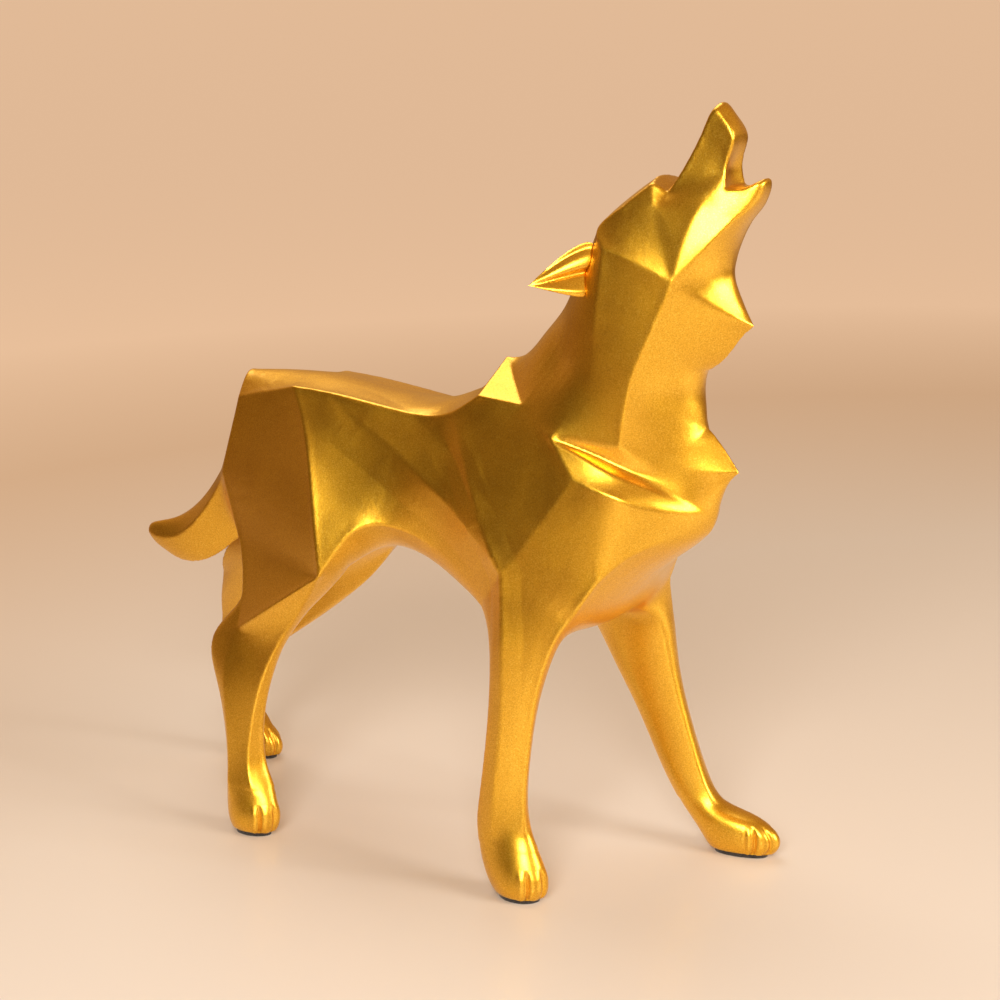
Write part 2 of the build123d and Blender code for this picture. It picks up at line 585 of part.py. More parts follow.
def bent_wire(points):
    """One armature wire: straight runs with a ball at each bend, so that it is one solid."""
    wire = rod(points[0], points[1], WIRE_DIAMETER)
    for bend, after in zip(points[1:], points[2:]):
        wire += Pos(*bend) * Sphere(WIRE_DIAMETER / 2)
        wire += rod(bend, after, WIRE_DIAMETER)
    return wire


def capsule(start, end, radius):
    return rod(start, end, 2 * radius) + Pos(*start) * Sphere(radius) + Pos(*end) * Sphere(radius)


def side_block(outline, near, far):
    """A block that shows the given (x, z) outline from the side, from one y to another."""
    face = make_face(Polyline(*[(x, near, z) for x, z in outline], close=True))
    return extrude(face, amount=far - near, dir=(0, 1, 0))


def largest(shape):
    return max(shape.solids(), key=lambda solid: solid.volume)


# ---------------------------------------------------------------- where the castings part
GROUND = -5.0              # low enough to be under everything
SIDE_LIMIT = 60.0          # far enough out to be beside everything
HIND_GAP = 5.0             # the hind leg joints stay this far off the middle plane
FRONT_GAP = 3.0
FRONT_REACH = (20, 125)    # from behind the rear front leg to ahead of the other one, along x
KNEE_JOINTS = {            # (x, z) of the glue line of a hind leg, at the knee and at the hock
    "right": ((-17, 98.8), (-95, 47.6)),
    "left": ((-38, 93), (-135, 33.6)),
}
TAIL_BLOCK = [(-89.8, 123), (-79.5, 86.5), (-84, 72), (-135, 70), (-135, 125)]
TAIL_HALF_WIDTH = 8.2
WIRES = {
    "front_right": [(46, -34, 7), (45, -33.3, 45), (50, -29, 80), (48, -22, 112)],
    "front_left": [(88, 35, 7), (66, 34, 45), (57, 31, 75), (46, 22, 110)],
    "hind_right": [(-58, -32, 7), (-60.5, -30, 47), (-57, -25.5, 69), (-46, -15, 110)],
    "hind_left": [(-103.5, 28.7, 7), (-105, 28.6, 37), (-98, 27.3, 51), (-54, 16, 106)],
}
TRUNK_CAVITY = [(-50, 0, 128), (52, 0, 124)]
NECK_CAVITY = [(56, 0, 126), (79, 0, 190)]
PLUG_PLACE = (-2, 0)
PLUG_TOP = 108.0
POUR_HOLE_DIAMETER = 9.0
TAIL_PIN = [(-95, 0, 98), (-76, 0, 105)]
FLOOR_BLOCK = (400, 200, 20)


def hind_block(leg):
    """The space of one hind leg, under the slanting glue line from its knee to its hock."""
    knee, hock = KNEE_JOINTS[leg]
    outline = [knee, hock, (hock[0], GROUND), (knee[0], GROUND)]
    near, far = (-SIDE_LIMIT, -HIND_GAP) if leg == "right" else (HIND_GAP, SIDE_LIMIT)
    return side_block(outline, near, far)


def front_block(leg):
    """The space of one front leg, under the level glue line at its top."""
    rear, front = FRONT_REACH
    outline = [(rear, FRONT_JOINT_HEIGHT), (rear, GROUND), (front, GROUND),
               (front, FRONT_JOINT_HEIGHT)]
    near, far = (-SIDE_LIMIT, -FRONT_GAP) if leg == "right" else (FRONT_GAP, SIDE_LIMIT)
    return side_block(outline, near, far)


def pad(leg):
    """The thin pad under a sole: the sole's own outline, a little smaller."""
    sole = leg.faces().sort_by(Axis.Z)[0]
    outline = scale(sole, by=PAD_SCALE)
    outline = Pos(sole.center() - outline.center()) * outline
    return extrude(outline, amount=PAD_THICKNESS, dir=(0, 0, -1))


def build():
    """Every piece by its node name, in the coordinates of the net."""
    floor = Pos(0, 0, SOLE_LEVEL) * Box(
        *FLOOR_BLOCK, align=(Align.CENTER, Align.CENTER, Align.MAX))
    wolf = largest(skin(*build_net()) - floor)

    parts, blocks = {}, {}
    for leg in ("right", "left"):
        blocks[f"front_{leg}"] = front_block(leg)
        blocks[f"hind_{leg}"] = hind_block(leg)
    body = wolf
    for name, block in blocks.items():
        parts[f"{name}_leg"] = largest(wolf & block)
        parts[f"{name}_pad"] = pad(parts[f"{name}_leg"])
        body = body - block
    tail = largest(body & side_block(TAIL_BLOCK, -TAIL_HALF_WIDTH, TAIL_HALF_WIDTH))
    body = body - tail

    for side, sign in (("right", -1), ("left", 1)):
        parts[f"{side}_ear"] = largest(ear(sign) - wolf)

    plug_space = Pos(*PLUG_PLACE, PLUG_TOP) * Cylinder(
        PLUG_DIAMETER / 2, 3 * PLUG_HEIGHT, align=(Align.CENTER, Align.CENTER, Align.MAX))
    parts["belly_plug"] = largest(body & plug_space)
    body = body - plug_space
    hollow = capsule(*TRUNK_CAVITY, CAVITY_RADIUS) + capsule(*NECK_CAVITY, NECK_CAVITY_RADIUS)
    hollow += rod((*PLUG_PLACE, PLUG_TOP), (*PLUG_PLACE, TRUNK_CAVITY[0][2]), POUR_HOLE_DIAMETER)
    body = body - hollow

    for name, points in WIRES.items():
        wire = bent_wire(points)
        parts[f"{name}_wire"] = wire
        parts[f"{name}_leg"] = parts[f"{name}_leg"] - wire
        body = body - wire
    pin = rod(*TAIL_PIN, TAIL_PIN_DIAMETER)
    parts["tail_pin"] = pin
    parts["tail"] = tail - pin
    parts["body_casting"] = largest(body - pin)
    return parts


def stand_on_origin(parts):
    """Move all parts so that the figure stands on z = 0 with its outline centred on the origin."""
    boxes = [part.bounding_box() for part in parts.values()]
    low = [min(tuple(box.min)[axis] for box in boxes) for axis in range(3)]
    high = [max(tuple(box.max)[axis] for box in boxes) for axis in range(3)]
    shift = Pos(-(low[0] + high[0]) / 2, -(low[1] + high[1]) / 2, -low[2])
    return {name: shift * part for name, part in parts.items()}


if __name__ == "__main__":
    os.makedirs("parts", exist_ok=True)
    for node, part in stand_on_origin(build()).items():
        solid = largest(part)
        solid.label = node
        export_step(solid, f"parts/{node}.step")
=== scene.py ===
import bmesh
import bpy
import math
import numpy as np
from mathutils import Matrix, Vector


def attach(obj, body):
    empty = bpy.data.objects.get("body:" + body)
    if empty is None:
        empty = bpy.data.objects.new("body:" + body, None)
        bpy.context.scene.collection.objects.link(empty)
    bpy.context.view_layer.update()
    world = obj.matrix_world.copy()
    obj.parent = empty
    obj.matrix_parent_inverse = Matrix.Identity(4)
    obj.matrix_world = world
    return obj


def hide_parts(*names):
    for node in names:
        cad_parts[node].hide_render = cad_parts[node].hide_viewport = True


# The faceted gold wolf. Its castings are glued, filled and painted as one, so the outer skin
# is worked as one mesh and then parted again at the glue lines. Lengths are in metres, except
# where a comment says millimetres.

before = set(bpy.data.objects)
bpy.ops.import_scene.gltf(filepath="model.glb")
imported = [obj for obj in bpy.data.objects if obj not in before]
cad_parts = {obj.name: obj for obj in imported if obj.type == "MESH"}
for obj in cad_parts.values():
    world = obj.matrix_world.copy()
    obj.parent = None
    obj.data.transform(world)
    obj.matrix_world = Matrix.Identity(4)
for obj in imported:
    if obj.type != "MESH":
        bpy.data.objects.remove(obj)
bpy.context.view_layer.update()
MM = 0.001

CASTINGS = ("body_casting", "belly_plug", "front_right_leg", "front_left_leg",
            "hind_right_leg", "hind_left_leg", "tail")
VOXEL = 0.5 * MM
EAR_VOXEL = 0.24 * MM
SKIN_SMOOTHING = 5        # rounds of smoothing before the skin is worked
FINAL_SMOOTHING = 3       # and after it
EAR_SMOOTHING = 22
LIP_ROUNDS = 50           # creases are found against a copy smoothed this much,
LIP_AMOUNT = 0.7          # raised by this share of the difference,
LIP_LIMIT = 0.6 * MM      # and never by more than this
TINY = 1e-12              # keeps a length of zero out of a division


# ------------------------------------------------------------------ mesh helpers
def arrays(mesh):
    """Vertex places and triangle corners of a mesh."""
    places = np.empty(len(mesh.vertices) * 3, np.float64)
    mesh.vertices.foreach_get("co", places)
    mesh.calc_loop_triangles()
    corners = np.empty(len(mesh.loop_triangles) * 3, np.int32)
    mesh.loop_triangles.foreach_get("vertices", corners)
    return places.reshape(-1, 3), corners.reshape(-1, 3)


def joined_mesh(name, nodes):
    """One mesh from several CAD nodes."""
    points, faces, start = [], [], 0
    for node in nodes:
        places, corners = arrays(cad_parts[node].data)
        points.append(places)
        faces.append(corners + start)
        start += len(places)
    mesh = bpy.data.meshes.new(name)
    mesh.from_pydata(np.vstack(points).tolist(), [], np.vstack(faces).tolist())
    return mesh


def add(name, mesh):
    """Put a mesh in the scene as an object of its own."""
    piece = bpy.data.objects.new(name, mesh)
    bpy.context.scene.collection.objects.link(piece)
    return piece


def remeshed(piece, voxel):
    """Voxel remesh in place, keeping only the biggest connected surface."""
    piece.data.remesh_voxel_size = voxel
    piece.data.remesh_voxel_adaptivity = 0
    bpy.context.view_layer.objects.active = piece
    bpy.ops.object.voxel_remesh()
    bm = bmesh.new()
    bm.from_mesh(piece.data)
    bm.verts.ensure_lookup_table()
    label = [-1] * len(bm.verts)
    groups = []
    for seed in bm.verts:
        if label[seed.index] >= 0:
            continue
        stack, members = [seed], []
        label[seed.index] = len(groups)
        while stack:
            vert = stack.pop()
            members.append(vert)
            for edge in vert.link_edges:
                other = edge.other_vert(vert)
                if label[other.index] < 0:
                    label[other.index] = len(groups)
                    stack.append(other)
        groups.append(members)
    groups.sort(key=len)
    small = [vert for group in groups[:-1] for vert in group]
    bmesh.ops.delete(bm, geom=small, context="VERTS")
    bm.to_mesh(piece.data)
    bm.free()


def edge_pairs(mesh):
    """The two vertex numbers of every edge."""
    pairs = np.empty(len(mesh.edges) * 2, np.int32)
    mesh.edges.foreach_get("vertices", pairs)
    return pairs.reshape(-1, 2)


def smoothed(places, pairs, rounds, amount=0.5):
    """Soften creases: every vertex drifts towards the mean of its neighbours."""
    both = np.vstack([pairs, pairs[:, ::-1]])
    both = both[np.argsort(both[:, 0], kind="stable")]
    count = np.bincount(both[:, 0], minlength=len(places)).astype(float)[:, None]
    starts = np.searchsorted(both[:, 0], np.arange(len(places)))
    for _ in range(rounds):
        mean = np.add.reduceat(places[both[:, 1]], starts, axis=0) / count
        places = places + amount * (mean - places)
    return places


def set_places(mesh, places):
    """Move every vertex of a mesh to its place."""
    mesh.vertices.foreach_set("co", places.astype(np.float32).ravel())
    mesh.update()


def vertex_normals(mesh):
    """The smooth normal of every vertex."""
    normals = np.empty(len(mesh.vertices) * 3, np.float32)
    mesh.vertex_normals.foreach_get("vector", normals)
    return normals.reshape(-1, 3).astype(float)


# ------------------------------------------------------------------ the skin
# Toe grooves on each paw: the middle of the paw, the way it points, and the grooves' angles
# from that way, in degrees. Lengths here and below are in millimetres in the frame.
PAWS = {
    "front_right": ((53.7, -35.0), 0, (-33, -4, 25)),
    "front_left": ((100.7, 35.1), -4, (-31, -4, 25)),
    "hind_right": ((-51.3, -32.7), -6, (-34, -3, 27)),
    "hind_left": ((-96.0, 28.7), -2, (-32, -3, 26)),
}
PAW_RADIUS = 17.0
PAW_HEIGHT = 16.5
TOE_HEIGHT = 11.5             # the grooves run out at this height,
TOE_HEIGHT_FADE = 3.0         # over this much of it
TOE_SIDE = 70                 # and at this many degrees from the paw's heading
TOE_SIDE_FADE = 18
TOE_MIDDLE = 3.0              # nothing is pressed closer to the paw's middle than this
TOE_MIDDLE_FADE = 2.0
SOLE_HEIGHT = 1.6             # the sole stays flat below this height
TOE_GROOVE_WIDTH = 0.55
TOE_GROOVE_DEPTH = 0.75
TOE_SWELL = 0.30


def refine_paws(piece):
    """Split the quads of the paws in four, for the toes."""
    bm = bmesh.new()
    bm.from_mesh(piece.data)
    inside = set()
    for vert in bm.verts:
        x, y, z = vert.co / MM
        if z < PAW_HEIGHT and any(math.hypot(x - px, y - py) < PAW_RADIUS
                                  for (px, py), _, _ in PAWS.values()):
            inside.add(vert)
    edges = [edge for edge in bm.edges if edge.verts[0] in inside and edge.verts[1] in inside]
    bmesh.ops.subdivide_edges(bm, edges=edges, cuts=1, use_grid_fill=True)
    bmesh.ops.triangulate(bm, faces=[face for face in bm.faces if len(face.verts) > 4])
    bm.to_mesh(piece.data)
    bm.free()


def toes(places, normals):
    """Press the grooves between the toes into the front of each paw and swell the toes."""
    places = places.copy()
    for (px, py), heading, grooves in PAWS.values():
        x, y, z = (places / MM).T
        reach = np.hypot(x - px, y - py)
        angle = np.degrees(np.arctan2(y - py, x - px)) - heading
        near = (reach < PAW_RADIUS) & (z < PAW_HEIGHT)
        front = np.clip((TOE_SIDE - np.abs(angle)) / TOE_SIDE_FADE, 0, 1)
        front *= np.clip((reach - TOE_MIDDLE) / TOE_MIDDLE_FADE, 0, 1)
        low = np.clip((TOE_HEIGHT - z) / TOE_HEIGHT_FADE, 0, 1)
        amount = front * low * near
        groove = np.zeros(len(places))
        for turn in grooves:
            away = reach * np.sin(np.radians(angle - turn))
            groove = np.maximum(groove, np.exp(-(away / TOE_GROOVE_WIDTH) ** 2))
        middle = np.mean(grooves)
        step = (grooves[-1] - grooves[0]) / (len(grooves) - 1)
        swell = 0.5 + 0.5 * np.cos(np.radians(360 * ((angle - middle) / step + 0.5)))
        change = amount * (TOE_SWELL * swell - TOE_GROOVE_DEPTH * groove) * MM
        change[z < SOLE_HEIGHT] = 0
        places += change[:, None] * normals
    return places


# Ridges (+) and troughs (-) worked into both sides of the skin: height, half width and the
# points of the line, on the right side. Millimetres in the frame.
RIDGES = [
    (0.9, 12, [(-31.5, -16.3, 150.2), (-20.3, -16.5, 146.7), (-2.4, -19.4, 138.3),
               (21.0, -24.6, 124.8), (41.1, -31.4, 111.4), (46.0, -33.0, 104.0)]),
    (-0.8, 7, [(13.1, -16.7, 146.5), (25.9, -24.0, 134.4), (37.7, -30.1, 121.0),
               (43.0, -32.5, 110.0)]),
    (0.6, 7, [(20.3, -17.9, 148.4), (27.0, -23.3, 137.6), (33.5, -28.0, 126.4),
              (47.2, -33.1, 105.6), (49.3, -35.4, 85.0), (49.1, -36.8, 65.0)]),
]
RIDGE_FADE = 0.2      # the part of a line over which a ridge rises at each end
# Round hollows pressed into both sides: (depth, radius, middle).
HOLLOWS = [
    (1.2, 8, (56.4, -15.5, 170.6)),
    (1.1, 8, (93.4, -11.9, 164.4)),
]


def off_line(points, line):
    """How far points are from a run of straight pieces, and how far along it they are."""
    line = np.array(line)
    lengths = np.linalg.norm(np.diff(line, axis=0), axis=1)
    nearest = np.full(len(points), np.inf)
    along_run = np.zeros(len(points))
    for number, (start, end) in enumerate(zip(line, line[1:])):
        along = end - start
        share = np.clip((points - start) @ along / (along @ along), 0, 1)
        gap = np.linalg.norm(points - start - share[:, None] * along, axis=1)
        closer = gap < nearest
        nearest[closer] = gap[closer]
        along_run[closer] = (lengths[:number].sum() + share * lengths[number])[closer]
    return nearest, along_run / lengths.sum()


def worked(places, normals):
    """Work the ridges and hollows into the skin."""
    right = places / MM
    right[:, 1] = -np.abs(right[:, 1])
    change = np.zeros(len(places))
    for height, width, line in RIDGES:
        gap, run = off_line(right, line)
        fade = np.clip(np.minimum(run, 1 - run) / RIDGE_FADE, 0, 1)
        change += height * fade * np.clip(1 - gap / width, 0, 1)
    for depth, radius, middle in HOLLOWS:
        gap = np.linalg.norm(right - np.array(middle), axis=1)
        change -= depth * np.exp(-(gap / radius) ** 2)
    return places + change[:, None] * normals * MM


def sharpened(places, pairs):
    """Raise the lips of the creases and hollow the facets between them."""
    detail = places - smoothed(places, pairs, LIP_ROUNDS)
    size = np.linalg.norm(detail, axis=1)[:, None]
    detail *= LIP_AMOUNT * np.minimum(1, LIP_LIMIT / np.maximum(size * LIP_AMOUNT, TINY))
    detail[places[:, 2] < PAW_HEIGHT * MM] *= 0
    return places + detail


skin = add("skin", joined_mesh("skin", CASTINGS))
remeshed(skin, VOXEL)
pairs = edge_pairs(skin.data)
places, _ = arrays(skin.data)
places = smoothed(places, pairs, SKIN_SMOOTHING)
set_places(skin.data, places)
places = worked(places, vertex_normals(skin.data))
places = smoothed(sharpened(places, pairs), pairs, FINAL_SMOOTHING)
set_places(skin.data, places)
refine_paws(skin)
places, _ = arrays(skin.data)
places = toes(places, vertex_normals(skin.data))
set_places(skin.data, places)


# ------------------------------------------------------------------ parting the skin
def half_plane(start, end):
    """Distance past the line from start to end, both (x, z); the left-hand side is outside."""
    (x1, z1), (x2, z2) = start, end
    length = math.hypot(x2 - x1, z2 - z1)

    def distance(points):
        x, _, z = points
        return ((x2 - x1) * (z - z1) - (z2 - z1) * (x - x1)) / length

    return distance


def inside_all(*rules):
    """Below zero where every rule is below zero."""
    def distance(points):
        return np.max([rule(points) for rule in rules], axis=0)

    return distance


RIGHT, LEFT = -1, 1
# The glue lines, in millimetres in their own coordinates; SHIFT brings them to the frame.
SHIFT_X, SHIFT_Z = 3.73, 0.4
KNEE_JOINTS = {RIGHT: ((-17, 98.8), (-95, 47.6)), LEFT: ((-38, 93), (-135, 33.6))}
HIND_INNER_SIDE = 5
FRONT_JOINT_HEIGHT = 76.0
FRONT_INNER_SIDE = 3
FRONT_BACK_END = 20
TAIL_JOINT = [(-89.8, 123), (-79.5, 86.5), (-84, 72)]
TAIL_HALF_WIDTH = 8.2
TAIL_BOTTOM = 72
# The plug and its hole, in millimetres in the frame.
PLUG_CENTRE = (1.73, 0.02)
PLUG_HOLE_RADIUS = 7.08
PLUG_TOP = 108.4
PLUG_SKIN_TOP = 104           # only skin below this height is the plug's
PLUG_LOOP_REACH = 3           # the plug's open loop lies this close round its centre,
PLUG_LOOP_BOTTOM = 90         # above this height


def shifted(point):
    """A glue line's point (x, z) in the frame."""
    return point[0] + SHIFT_X, point[1] + SHIFT_Z


def front_leg(side):
    """Below the front glue line, on one side."""
    return inside_all(lambda p: p[2] - FRONT_JOINT_HEIGHT - SHIFT_Z,
                      lambda p: FRONT_INNER_SIDE - side * p[1],
                      lambda p: FRONT_BACK_END - p[0])


def hind_leg(side):
    """Below the glue line from hock to knee, on one side."""
    knee, hock = map(shifted, KNEE_JOINTS[side])
    return inside_all(half_plane(hock, knee),
                      lambda p: HIND_INNER_SIDE - side * p[1],
                      lambda p: p[0] - knee[0])


def tail():
    """Behind the tail's bent glue line."""
    top, bend, bottom = map(shifted, TAIL_JOINT)
    return inside_all(half_plane(top, bend), half_plane(bend, bottom),
                      lambda p: np.abs(p[1]) - TAIL_HALF_WIDTH, lambda p: TAIL_BOTTOM - p[2])


def plug(points):
    """Inside the plug's hole."""
    x, y, z = points
    reach = np.hypot(x - PLUG_CENTRE[0], y - PLUG_CENTRE[1])
    return np.maximum(reach - PLUG_HOLE_RADIUS, z - PLUG_SKIN_TOP)


# Every casting but the body, each with the function that is below zero in its part of the skin.
RULES = {
    "front_right_leg": front_leg(RIGHT),
    "front_left_leg": front_leg(LEFT),
    "tail": tail(),
    "belly_plug": plug,
    "hind_right_leg": hind_leg(RIGHT),
    "hind_left_leg": hind_leg(LEFT),
}
ON_LINE = 1e-4        # millimetres; a vertex this close to a zero line counts as outside it


def part_skin(piece):
    """Cut the skin along every rule's zero line; give each face the number of its casting."""
    bm = bmesh.new()
    bm.from_mesh(piece.data)
    bm.normal_update()
    for rule in RULES.values():
        bm.verts.ensure_lookup_table()
        points = np.array([vert.co[:] for vert in bm.verts]).T / MM
        values = rule(points)
        values[np.abs(values) < ON_LINE] = ON_LINE
        fresh = []
        for edge in list(bm.edges):
            first, second = edge.verts
            a, b = values[first.index], values[second.index]
            if a * b < 0:
                _, vert = bmesh.utils.edge_split(edge, first, a / (a - b))
                fresh.append(vert)
        bmesh.ops.connect_verts(bm, verts=fresh)
        bm.verts.index_update()
    bm.faces.ensure_lookup_table()
    centres = np.array([face.calc_center_median()[:] for face in bm.faces]).T / MM
    owner = np.zeros(len(bm.faces), int)
    for number, rule in enumerate(RULES.values(), 1):
        owner[rule(centres) < 0] = number
    return bm, owner


def open_loops(bm):
    """The open edges of a cut piece, one list for each loop."""
    open_edges = dict.fromkeys(edge for edge in bm.edges if edge.is_boundary)
    while open_edges:
        loop, stack = [], [open_edges.popitem()[0]]
        while stack:
            edge = stack.pop()
            loop.append(edge)
            for vert in edge.verts:
                for other in vert.link_edges:
                    if other in open_edges:
                        del open_edges[other]
                        stack.append(other)
        yield loop


def loop_verts(loop):
    """The vertices of a loop, each once and always in the same order."""
    return list(dict.fromkeys(vert for edge in loop for vert in edge.verts))


def fill_fan(bm, loop):
    """Close one open loop with flat triangles round its middle."""
    verts = loop_verts(loop)
    middle = bm.verts.new(sum((vert.co for vert in verts), Vector()) / len(verts))
    for edge in loop:
        bm.faces.new((*edge.verts, middle)).smooth = False


def is_plug_hole(loop):
    """Whether an open loop of the body is the rim of the plug's hole."""
    middle = sum((edge.verts[0].co for edge in loop), Vector()) / len(loop) / MM
    reach = math.hypot(middle.x - PLUG_CENTRE[0], middle.y - PLUG_CENTRE[1])
    return reach < PLUG_LOOP_REACH and middle.z > PLUG_LOOP_BOTTOM


def raised(bm, loop, height):
    """Stand a straight wall on an open loop, up to a height; the new open loop."""
    above = {vert: bm.verts.new((vert.co.x, vert.co.y, height)) for vert in loop_verts(loop)}
    for first, second in [edge.verts for edge in loop]:
        bm.faces.new((first, second, above[second], above[first])).smooth = False
    return [bm.edges.get([above[vert] for vert in edge.verts]) for edge in loop]


def cut_piece(whole, owner, number, name):
    """One closed casting out of the parted skin, shaded as if it were still in one piece."""
    bm = whole.copy()
    bm.faces.ensure_lookup_table()
    bm.verts.index_update()
    normals = [vert.normal.copy() for vert in bm.verts]
    source = bm.verts.layers.int.new("source")
    for vert in bm.verts:
        vert[source] = vert.index
    away = [bm.faces[i] for i in np.flatnonzero(owner != number)]
    bmesh.ops.delete(bm, geom=away, context="FACES")
    for face in bm.faces:
        face.smooth = True
    for loop in list(open_loops(bm)):
        if name == "body_casting" and is_plug_hole(loop):
            loop = raised(bm, loop, PLUG_TOP * MM)
        fill_fan(bm, loop)
    bmesh.ops.recalc_face_normals(bm, faces=bm.faces)
    shading = []
    for face in bm.faces:
        face.normal_update()
        for corner in face.loops:
            shading.append(normals[corner.vert[source]] if face.smooth else face.normal.copy())
    mesh = bpy.data.meshes.new(name)
    bm.to_mesh(mesh)
    bm.free()
    mesh.normals_split_custom_set(shading)
    return add(f"{name}_skin", mesh)


def stand_for(piece, node):
    """Let a piece stand for its CAD node."""
    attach(piece, "root")
    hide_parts(node)
    castings.append(piece)


castings = []
whole, owner = part_skin(skin)
for number, name in enumerate(["body_casting", *RULES]):
    if name != "belly_plug":
        stand_for(cut_piece(whole, owner, number, name), name)
whole.free()
bpy.data.objects.remove(skin)

for name in ("right_ear", "left_ear"):
    piece = add(f"{name}_skin", joined_mesh(f"{name}_skin", [name]))
    remeshed(piece, EAR_VOXEL)
    places, _ = arrays(piece.data)
    set_places(piece.data, smoothed(places, edge_pairs(piece.data), EAR_SMOOTHING))
    for polygon in piece.data.polygons:
        polygon.use_smooth = True
    stand_for(piece, name)


# ------------------------------------------------------------------ materials
def new_material(name):
    """An empty material: itself, its nodes, its links, its shader and the object's coordinates."""
    material = bpy.data.materials.new(name)
    material.use_nodes = True
    nodes, links = material.node_tree.nodes, material.node_tree.links
    place = nodes.new("ShaderNodeTexCoord").outputs["Object"]
    return material, nodes, links, nodes["Principled BSDF"], place


def noise(nodes, links, place, scale, detail):
    """A noise texture's value."""
    texture = nodes.new("ShaderNodeTexNoise")
    texture.inputs["Scale"].default_value = scale
    texture.inputs["Detail"].default_value = detail
    links.new(place, texture.inputs["Vector"])
    return texture.outputs["Fac"]


def mapped(nodes, links, value, low, high, start=0.3, end=0.7):
    """A value between start and end spread over low to high."""
    spread = nodes.new("ShaderNodeMapRange")
    spread.inputs["From Min"].default_value = start
    spread.inputs["From Max"].default_value = end
    spread.inputs["To Min"].default_value = low
    spread.inputs["To Max"].default_value = high
    links.new(value, spread.inputs["Value"])
    return spread.outputs["Result"]


def ramp(nodes, links, value, stops):
    """A colour ramp; stops are (position, colour)."""
    tint = nodes.new("ShaderNodeValToRGB")
    for _ in stops[2:]:
        tint.color_ramp.elements.new(0.5)
    for element, (position, colour) in zip(tint.color_ramp.elements, stops):
        element.position = position
        element.color = (*colour, 1)
    links.new(value, tint.inputs["Fac"])
    return tint.outputs["Color"]


def bumped(nodes, links, height, strength, distance, below=None):
    """A bumped normal, on top of the one below if there is one."""
    bump = nodes.new("ShaderNodeBump")
    bump.inputs["Strength"].default_value = strength
    bump.inputs["Distance"].default_value = distance
    links.new(height, bump.inputs["Height"])
    if below is not None:
        links.new(below, bump.inputs["Normal"])
    return bump.outputs["Normal"]


GOLD_STOPS = [(0.30, (0.72, 0.37, 0.014)), (0.55, (0.89, 0.51, 0.030)),
              (0.78, (1.0, 0.70, 0.10))]
GOLD_ROUGHNESS = (0.32, 0.39)


def gold_paint():
    """Satin gold metallic paint: fine flakes, a slight orange peel, a thin clear coat."""
    material, nodes, links, shader, place = new_material("satin_gold_paint")
    flakes = noise(nodes, links, place, 2600, 2)
    clouds = noise(nodes, links, place, 70, 4)
    peel = noise(nodes, links, place, 900, 1)

    links.new(ramp(nodes, links, flakes, GOLD_STOPS), shader.inputs["Base Color"])
    shader.inputs["Metallic"].default_value = 1.0
    links.new(mapped(nodes, links, clouds, *GOLD_ROUGHNESS), shader.inputs["Roughness"])
    shader.inputs["Coat Weight"].default_value = 0.6
    shader.inputs["Coat Roughness"].default_value = 0.26
    shader.inputs["Coat Tint"].default_value = (1.0, 0.96, 0.86, 1)
    grain = bumped(nodes, links, flakes, 0.30, 0.00006)
    links.new(bumped(nodes, links, peel, 0.12, 0.0002, grain), shader.inputs["Normal"])
    return material


def felt():
    """Dark felt: matted fibres with a little fuzz."""
    material, nodes, links, shader, place = new_material("dark_felt")
    fibres = noise(nodes, links, place, 1800, 6)
    tint = ramp(nodes, links, fibres,
                [(0.35, (0.012, 0.011, 0.010)), (0.7, (0.06, 0.052, 0.045))])
    links.new(tint, shader.inputs["Base Color"])
    shader.inputs["Roughness"].default_value = 0.95
    shader.inputs["Sheen Weight"].default_value = 0.3
    links.new(bumped(nodes, links, fibres, 0.6, 0.0003), shader.inputs["Normal"])
    return material


def steel():
    """Drawn steel wire with fine lengthwise marks."""
    material, nodes, links, shader, place = new_material("drawn_steel")
    stretch = nodes.new("ShaderNodeMapping")
    stretch.inputs["Scale"].default_value = (1, 1, 0.05)
    links.new(place, stretch.inputs["Vector"])
    marks = noise(nodes, links, stretch.outputs["Vector"], 3000, 3)
    tint = ramp(nodes, links, marks, [(0.3, (0.30, 0.30, 0.31)), (0.7, (0.52, 0.52, 0.53))])
    links.new(tint, shader.inputs["Base Color"])
    shader.inputs["Metallic"].default_value = 1.0
    links.new(mapped(nodes, links, marks, 0.25, 0.45), shader.inputs["Roughness"])
    return material


def paint(piece, material):
    """Give a piece its one material."""
    piece.data.materials.clear()
    piece.data.materials.append(material)


GOLD, FELT, STEEL = gold_paint(), felt(), steel()
for piece in [*castings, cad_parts["belly_plug"]]:
    paint(piece, GOLD)
for leg in ("front_right", "front_left", "hind_right", "hind_left"):
    paint(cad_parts[f"{leg}_pad"], FELT)
    paint(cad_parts[f"{leg}_wire"], STEEL)
paint(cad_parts["tail_pin"], STEEL)


# ------------------------------------------------------------------ floor, light, camera
FLOOR_SIZE = 20.0


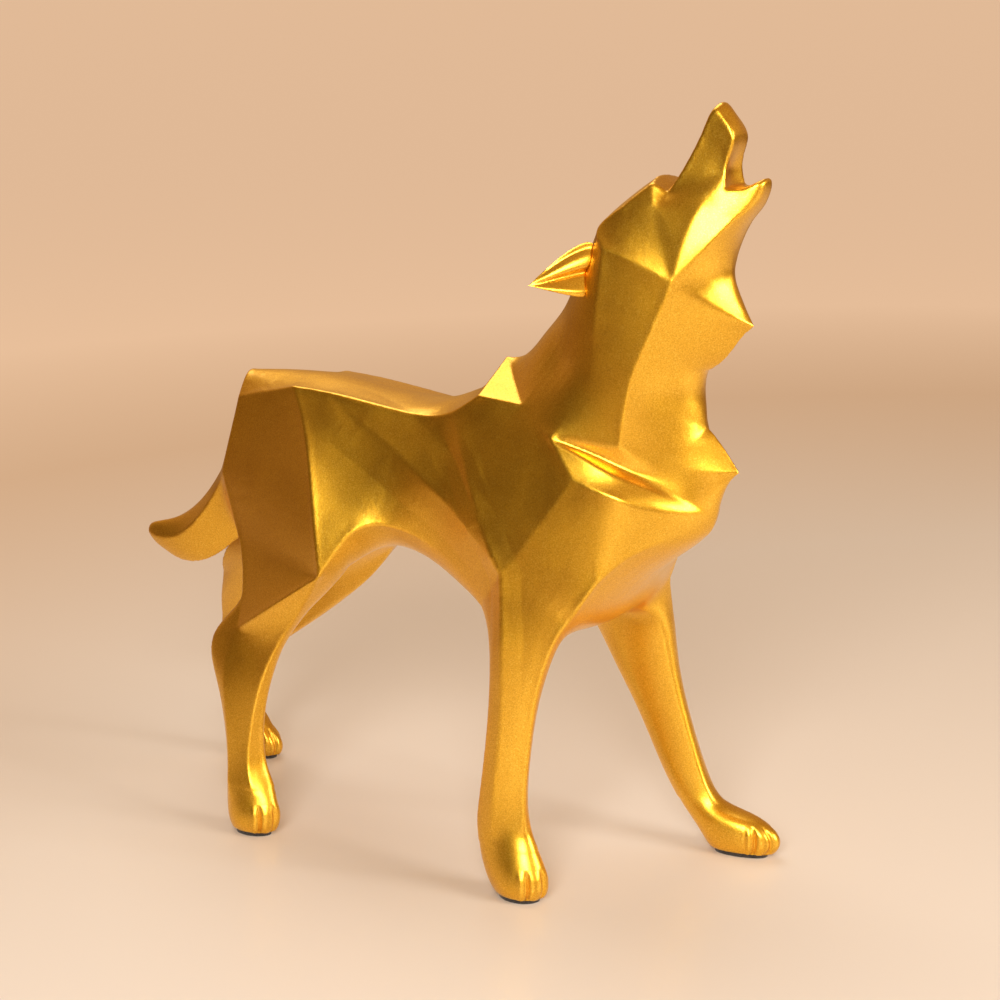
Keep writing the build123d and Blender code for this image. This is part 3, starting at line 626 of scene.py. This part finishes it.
def floor_with_painted_light():
    """Nearly matt, with painted light: a painted pool of light, pale round the figure, and painted
    shade, dark brown far away, where a painted glow shows it warm beige to the camera only.
    """
    material, nodes, links, shader, place = new_material("floor")
    reach = nodes.new("ShaderNodeVectorMath")
    reach.operation = "DISTANCE"
    reach.inputs[1].default_value = (0.30, 0.12, 0)
    links.new(place, reach.inputs[0])
    # Painted pool of light and painted shade: the floor's colour is pale near a point by the
    # figure and darkens to brown with distance from it.
    painted_falloff = mapped(nodes, links, reach.outputs["Value"], 0, 1, 0.45, 1.15)
    tint = ramp(nodes, links, painted_falloff, [(0.0, (0.74, 0.68, 0.62)), (0.5, (0.40, 0.28, 0.18)),
                                     (1.0, (0.28, 0.18, 0.10))])
    links.new(tint, shader.inputs["Base Color"])
    shader.inputs["Roughness"].default_value = 0.4
    # Painted glow: far from the figure the floor glows warm beige, but only to the camera, so the
    # gold reflects it dark.
    seen = nodes.new("ShaderNodeLightPath")
    painted_glow = nodes.new("ShaderNodeMath")
    painted_glow.operation = "MULTIPLY"
    links.new(painted_falloff, painted_glow.inputs[0])
    links.new(seen.outputs["Is Camera Ray"], painted_glow.inputs[1])
    shader.inputs["Emission Color"].default_value = (0.55, 0.39, 0.27, 1)
    links.new(painted_glow.outputs["Value"], shader.inputs["Emission Strength"])
    return material


floor_mesh = bpy.data.meshes.new("floor")
bm = bmesh.new()
bmesh.ops.create_grid(bm, x_segments=1, y_segments=1, size=FLOOR_SIZE)
bm.to_mesh(floor_mesh)
bm.free()
floor_mesh.materials.append(floor_with_painted_light())
add("floor", floor_mesh)

world = bpy.data.worlds.new("room")
bpy.context.scene.world = world
world.use_nodes = True
world_nodes, world_links = world.node_tree.nodes, world.node_tree.links
background = world_nodes["Background"]
background.inputs["Color"].default_value = (0.80, 0.46, 0.20, 1)
# The room is darkest on the wolf's right, a little behind it.
toward_dark = world_nodes.new("ShaderNodeVectorMath")
toward_dark.operation = "DOT_PRODUCT"
toward_dark.inputs[1].default_value = Vector((-0.48, -0.85, 0.18)).normalized()
world_links.new(world_nodes.new("ShaderNodeTexCoord").outputs["Generated"],
                toward_dark.inputs[0])
world_links.new(mapped(world_nodes, world_links, toward_dark.outputs["Value"],
                       0.56, 0.13, 0.55, 0.95), background.inputs["Strength"])


def softbox(name, place, target, size, power):
    """A rectangular lamp that looks at its target."""
    data = bpy.data.lights.new(name, "AREA")
    data.shape = "RECTANGLE"
    data.size, data.size_y = size
    data.energy = power
    data.color = (1.0, 0.96, 0.90)
    lamp = bpy.data.objects.new(name, data)
    bpy.context.scene.collection.objects.link(lamp)
    lamp.location = place
    lamp.rotation_euler = (Vector(target) - Vector(place)).to_track_quat("-Z", "Y").to_euler()


softbox("window", (0.44, -0.98, 0.60), (0.0, 0.0, 0.14), (0.55, 0.42), 12)
softbox("side_lamp", (1.05, 0.04, 0.50), (0.0, 0.0, 0.15), (0.42, 0.42), 6.8)
softbox("ceiling", (-0.45, 0.35, 1.1), (0.0, 0.0, 0.1), (0.8, 0.8), 4.8)

bpy.context.scene.view_settings.view_transform = "Standard"

camera_data = bpy.data.cameras.new("camera")
camera_data.lens = 86.4
camera_data.sensor_width = 36.0
camera = bpy.data.objects.new("camera", camera_data)
bpy.context.scene.collection.objects.link(camera)
camera.location = (0.41708, -0.64948, 0.30851)
camera.rotation_euler = (math.radians(76.0), 0.0, math.radians(30.9886))
bpy.context.scene.camera = camera
